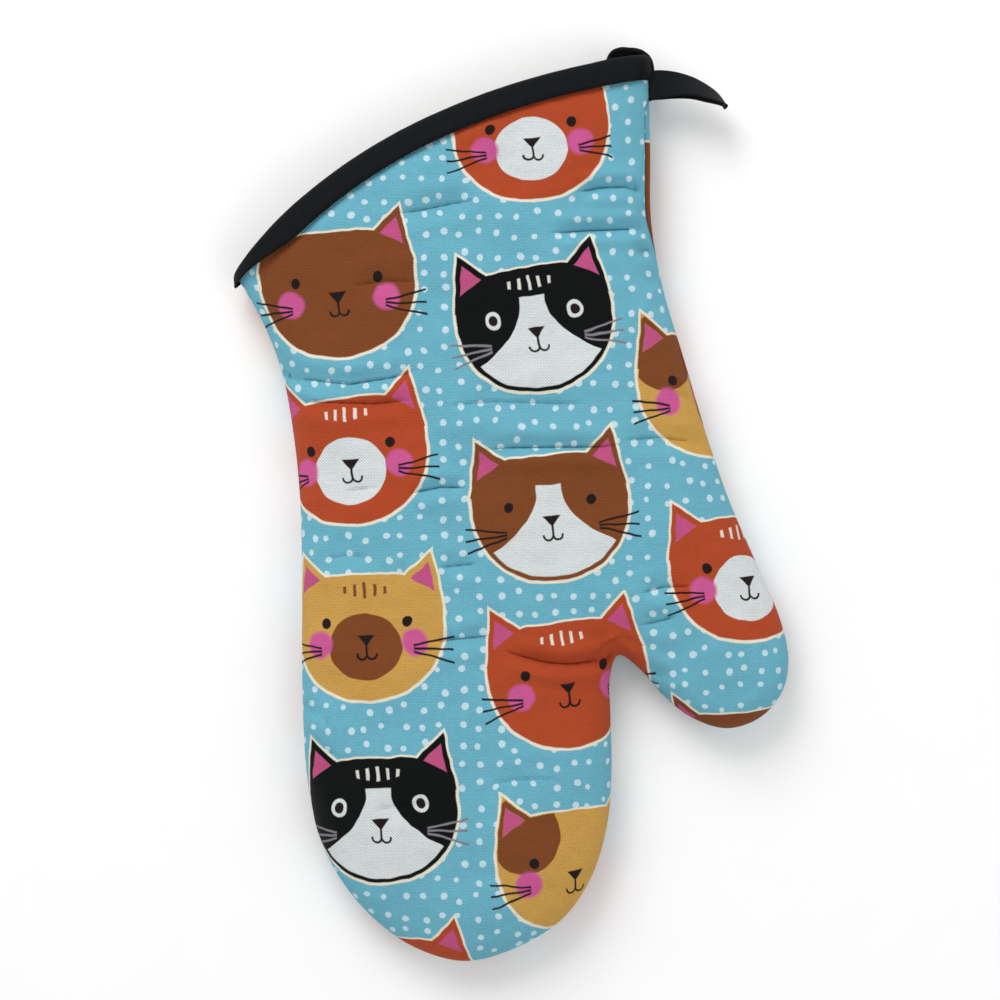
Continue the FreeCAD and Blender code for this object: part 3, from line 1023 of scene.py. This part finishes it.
COLUMN_PITCH, ROW_PITCH, COLUMN_DROP = 67.5, 64.2, 24.9
PRINT_ORIGIN = (-62.3, 83.2)  # a head of column 0, row 0
PRINT_RIGHT, PRINT_DOWN = (0.997, 0.079), (0.079, -0.997)
HEAD = 28.0  # half the width of a head
DOT_PITCH = 6.8
SHIFT_RANGE, TILT_RANGE = 40.0, 20.0
EDGE = 0.012  # softness of a printed edge, in heads


def line_distance(a, v, start, normal):
    """Signed distance from a line through start."""
    return (a - start[0]) * normal[0] + (v - start[1]) * normal[1]


def head_shape(u, v):
    """Signed distance to a cat's head, and to the inside of its ears, in heads."""
    a = abs(u)
    high, low = v.most(0.0) / 0.66, (-v).most(0.0) / 0.95
    upper = (a**3.4 + high**3.4) ** (1 / 3.4)
    lower = (a**2.1 + low**2.1) ** (1 / 2.1)
    body = (upper.most(lower) - 1.0) * 0.8
    inner = line_distance(a, v, (0.46, 0.575), (-0.66, 0.751))
    outer = line_distance(a, v, (0.87, 0.93), (0.983, 0.182))
    ear = inner.most(outer).most(0.2 - v)
    base = line_distance(a, v, (0.58, 0.61), (-0.507, -0.862))
    lining = (inner + 0.075).most(outer + 0.065).most(base)
    return body.least(ear), lining


def printed_colour(shader, x, y):
    """The blue cloth with pale dots and the repeat of cats' heads."""
    _, wobble = shader.noise(shader.vector(x, y), 0.14, 1.0)
    shift_x, shift_y, _ = shader.split(wobble)
    x, y = x + (shift_x - 0.5) * 1.5, y + (shift_y - 0.5) * 1.5
    cells = shader.node("ShaderNodeTexVoronoi", voronoi_dimensions="2D", feature="F1")
    cells.inputs["Scale"].default_value = 1 / DOT_PITCH
    cells.inputs["Randomness"].default_value = 0.5
    shader.link(shader.vector(x, y), cells.inputs["Vector"])
    random = shader.split(cells.outputs["Color"])[0]
    size = random * 0.05 + 0.98 / DOT_PITCH
    dots = (Number(shader.tree, cells.outputs["Distance"]) - size).inside(0.06)
    colour = shader.mix(dots, GROUND, DOT)

    from_x, from_y = x - PRINT_ORIGIN[0], y - PRINT_ORIGIN[1]
    right = from_x * PRINT_RIGHT[0] + from_y * PRINT_RIGHT[1]
    down = from_x * PRINT_DOWN[0] + from_y * PRINT_DOWN[1]
    column = (right / COLUMN_PITCH + 0.5).floor()
    down = down - column * COLUMN_DROP
    row = (down / ROW_PITCH + 0.5).floor()
    cell = column.cycle(COLUMNS) + row.cycle(ROWS) * float(COLUMNS)
    position = (cell + 0.5) / float(COLUMNS * ROWS)
    heads = [HEADS[k % COLUMNS, k // COLUMNS] for k in range(COLUMNS * ROWS)]
    coat = shader.table(position, [head[0] for head in heads])
    places = [
        (0.5 + head[4][0] / SHIFT_RANGE, 0.5 + head[4][1] / SHIFT_RANGE, 0.5 + head[5] / TILT_RANGE)
        for head in heads
    ]
    shift_x, shift_y, tilt = shader.split(shader.table(position, places))
    marks = [(head[1], head[2], 0.25 + 0.5 * head[3]) for head in heads]
    muzzle, forehead, cheeks = shader.split(shader.table(position, marks))
    kinds = [(float(head[0] is BLACK), float(head is NO_HEAD), 0.0) for head in heads]
    black, absent, _ = shader.split(shader.table(position, kinds))

    across = (right - column * COLUMN_PITCH - (shift_x - 0.5) * SHIFT_RANGE) / HEAD
    up = (row * ROW_PITCH - down - (shift_y - 0.5) * SHIFT_RANGE) / HEAD
    tilt = (tilt - 0.5) * math.radians(TILT_RANGE)
    u, v = across + up * tilt + absent * 9.0, up - across * tilt
    a = abs(u)
    head, ear = head_shape(u, v)
    ink = shader.mix(black, INK, GREY)

    within = (head + 0.045).inside(EDGE)
    spread = ((-v) + 0.22).most(0.0)
    blaze = (a - spread * spread * 1.15 - 0.16).most(v - 0.28).inside(EDGE)
    wide, tall = (u + 0.02) / 0.47, (v + 0.27) / 0.43
    spot = (((wide * wide + tall * tall).root() - 1.0) * 0.45).inside(EDGE)
    patch = ((u + 0.62) * (u + 0.62) + (v - 0.42) * (v - 0.42) * 0.8).root() - 0.46
    patch = patch.inside(EDGE) * (head + 0.01).inside(EDGE) * (-ear).inside(EDGE)
    bar = abs((u / 0.13 + 0.5).math("FRACT") - 0.5) * 0.13 - 0.02
    bars = bar.most(a - 0.33).most(v - 0.56 + a * 0.2).most((-v) + 0.36 + a * 0.2)
    bars = bars.inside(EDGE)
    blush = ((a - 0.62) * (a - 0.62) + (v + 0.23) * (v + 0.23)).root() - 0.17
    eye = ((a - 0.53) * (a - 0.53) + (v - 0.04) * (v - 0.04) * 0.8).root()
    nose = (v + 0.12).most(a * 0.78 - (v + 0.265) * 0.62)
    line = (a - 0.014).most(v + 0.2).most((-v) - 0.365)
    arc = abs(((a - 0.062) * (a - 0.062) + (v + 0.36) * (v + 0.36)).root() - 0.062) - 0.014
    mouth = nose.least(line).least(arc.most(v + 0.352))
    hairs = [abs(v + 0.27 + 0.035 * k - (a - 0.6) * (0.17 - 0.24 * k)) - 0.014 for k in range(3)]
    whiskers = hairs[0].least(hairs[1]).least(hairs[2]).most((-a) + 0.6).most(a - 1.12)
    layers = [
        ((head - 0.032).inside(EDGE), CREAM), (head.inside(EDGE), coat), (ear.inside(EDGE), PINK),
        (blaze * within * muzzle.near(BLAZE), WHITE), (spot * muzzle.near(ROUND_WHITE), WHITE),
        (spot * muzzle.near(ROUND_BROWN), BROWN), (patch * muzzle.near(PATCH), BROWN),
        (bars * forehead.near(DARK_BARS), BROWN),
        (bars * forehead.near(PALE_BARS) * 0.85, PALE_INK),
        (blush.inside(0.05) * cheeks.near(0.75) * head.inside(EDGE), CHEEK),
        ((eye - 0.105).inside(EDGE) * black, WHITE), ((eye - 0.062).inside(EDGE), INK),
        (mouth.inside(EDGE), INK), (whiskers.inside(EDGE), ink),
    ]
    for amount, above in layers:
        colour = shader.mix(amount, colour, above)
    return colour


def weave(shader, x, y, pitch):
    """Height of a plain weave with slightly uneven yarns, from 0 to 1."""
    uneven, _ = shader.noise(shader.vector(x * 0.25, y * 2.2), 0.5)
    rate = 2 * math.pi / pitch
    sway = (uneven - 0.5) * 1.4
    warp = (x * rate + sway).sine()
    weft = (y * rate + sway).sine()
    over = (warp * weft) * 0.5 + 0.5
    ribs = abs(warp).most(abs(weft))
    return over * 0.65 + ribs * 0.35


def make_cotton():
    """Printed cotton canvas."""
    shader = Shader("printed_cotton_canvas", 0.86, sheen=0.06, specular=0.12)
    x, y = shader.cloth()
    colour = printed_colour(shader, x, y)
    threads = weave(shader, x, y, 1.1)
    wear, _ = shader.noise(shader.vector(x, y), 0.06, 3.0)
    slub, _ = shader.noise(shader.vector(x * 0.35, y * 1.6), 0.9)
    tone = threads * 0.46 + wear * 0.14 + slub * 0.26 + 0.58
    grey = shader.node("ShaderNodeCombineColor")
    for k in range(3):
        shader.link(tone, grey.inputs[k])
    colour = shader.mix(1.0, colour, grey.outputs[0], "MULTIPLY")
    return shader.finish(colour, shader.bump(threads, 0.00035, 0.9))


def make_tape():
    """Black cotton tape: fine crosswise ribs with a faint bloom of lint."""
    shader = Shader("black_cotton_tape", 0.85, sheen=0.03, specular=0.12)
    x, y = shader.cloth()
    ribs = weave(shader, x, y, 0.62)
    lint, _ = shader.noise(shader.vector(x, y), 0.45, 4.0)
    colour = shader.mix(ribs * 0.35 + lint * 0.4, srgb(6, 7, 9), srgb(27, 30, 33))
    return shader.finish(colour, shader.bump(ribs + lint * 0.5, 0.0002, 0.6))


def make_lining():
    """Plain unbleached cotton for the inside."""
    shader = Shader("unbleached_cotton_lining", 0.9, sheen=0.1)
    x, y = shader.cloth()
    threads = weave(shader, x, y, 0.7)
    slub, _ = shader.noise(shader.vector(x, y * 6.0), 0.12, 3.0)
    colour = shader.mix(threads * 0.4 + slub * 0.4, srgb(206, 196, 176), srgb(238, 232, 218))
    return shader.finish(colour, shader.bump(threads, 0.0002, 0.6))


THREAD_TWIST = 0.00035  # metres of thread for one turn


def make_thread():
    """Black twisted sewing thread."""
    shader = Shader("black_sewing_thread", 0.7, specular=0.15)
    place = shader.node("ShaderNodeTexCoord").outputs["Object"]
    split = shader.node("ShaderNodeSeparateXYZ")
    shader.link(place, split.inputs[0])
    x, y, z = shader.numbers(split.outputs, 3)
    twist = ((x + y + z * 1.3) * (2 * math.pi / THREAD_TWIST)).sine() * 0.5 + 0.5
    fuzz, _ = shader.noise(place, 2500.0)
    colour = shader.mix(twist * 0.6 + fuzz * 0.3, srgb(10, 11, 13), srgb(30, 31, 36))
    return shader.finish(colour, shader.bump(twist, 0.00008, 0.8))


# ---- floor, light, camera

FRAME_WIDTH = 360.3  # what the picture's width shows at the object
VIEW_CENTRE = (-4.6, 1.8)
LENS = 100.0
SENSOR = 36.0
FLOOR = 2500.0  # half the floor's side
WORLD_LIGHT = 0.62


def make_floor():
    shader = Shader("pale_floor", 0.7)
    place = shader.node("ShaderNodeTexCoord").outputs["Object"]
    grain, _ = shader.noise(place, 60.0, 3.0)
    colour = shader.mix(grain, srgb(250, 250, 250), srgb(253, 253, 253))
    material = shader.finish(colour, shader.bump(grain, 0.0001, 0.1))
    corners = [(x * FLOOR, y * FLOOR, 0) for x, y in ((-1, -1), (1, -1), (1, 1), (-1, 1))]
    floor = add_object("floor", corners, [(0, 1, 2, 3)], material)


def add_light(name, place, size, watts):
    light = bpy.data.lights.new(name, "AREA")
    light.energy, light.size = watts, size
    obj = bpy.data.objects.new(name, light)
    obj.location = place
    obj.rotation_euler = (-Vector(place)).to_track_quat("-Z", "Y").to_euler()
    bpy.context.scene.collection.objects.link(obj)


def make_light_and_camera():
    scene = bpy.context.scene
    scene.view_settings.view_transform = "Standard"
    world = bpy.data.worlds.new("studio")
    world.use_nodes = True
    sky = world.node_tree.nodes["Background"].inputs
    sky["Color"].default_value = (1.0, 1.0, 1.0, 1.0)
    sky["Strength"].default_value = WORLD_LIGHT
    scene.world = world
    add_light("key", (-0.5, 1.0, 0.95), 0.9, 13.0)
    add_light("fill", (0.9, -0.5, 1.1), 1.2, 4.0)
    camera = bpy.data.cameras.new("camera")
    camera.lens, camera.sensor_width = LENS, SENSOR
    camera.clip_start, camera.clip_end = 0.01, 50.0
    obj = bpy.data.objects.new("camera", camera)
    distance = FRAME_WIDTH * LENS / SENSOR
    obj.location = (VIEW_CENTRE[0] * MM, VIEW_CENTRE[1] * MM, (distance + THICKNESS * 0.75) * MM)
    scene.collection.objects.link(obj)
    scene.camera = obj


# ---- the mitt

cotton, tape, lining_cloth, thread = make_cotton(), make_tape(), make_lining(), make_thread()
make_panels(cotton, lining_cloth)
make_binding(tape, thread)
make_loop(tape, thread)
make_seam_thread(thread)
for slot in bpy.data.objects["loop_sewn_end"].material_slots:
    slot.material = tape
make_floor()
make_light_and_camera()
